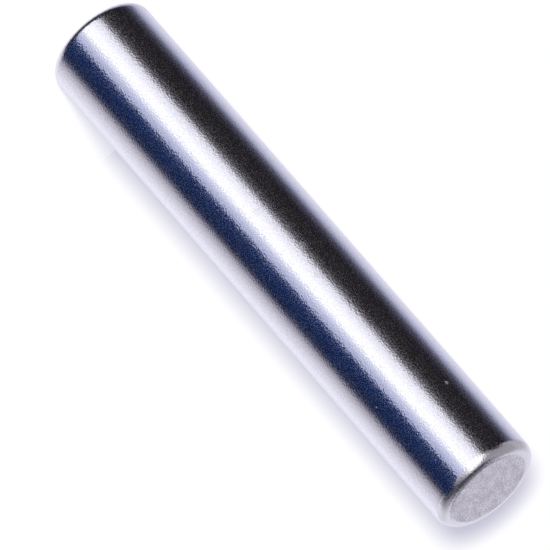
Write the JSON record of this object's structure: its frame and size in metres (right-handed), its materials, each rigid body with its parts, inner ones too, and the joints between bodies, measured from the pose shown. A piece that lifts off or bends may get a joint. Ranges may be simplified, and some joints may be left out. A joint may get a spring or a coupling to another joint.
{
  "type": "dowel pin",
  "caption": "Ground steel dowel pin with flat, round-edged ends, pressed or slid into reamed holes to locate parts.",
  "frame": {"origin": "centre of the flat foot that the pin stands on", "axes": "+Z along the pin's axis, from the foot to the top face; +X and +Y are any two directions across it"},
  "size_m": [0.008, 0.008, 0.045],
  "materials": {
    "ground_steel": "hardened steel, ground and polished round the shank, satin on the end faces"
  },
  "bodies": {
    "root": {"dowel_pin": "ground_steel"}
  },
  "joints": []
}
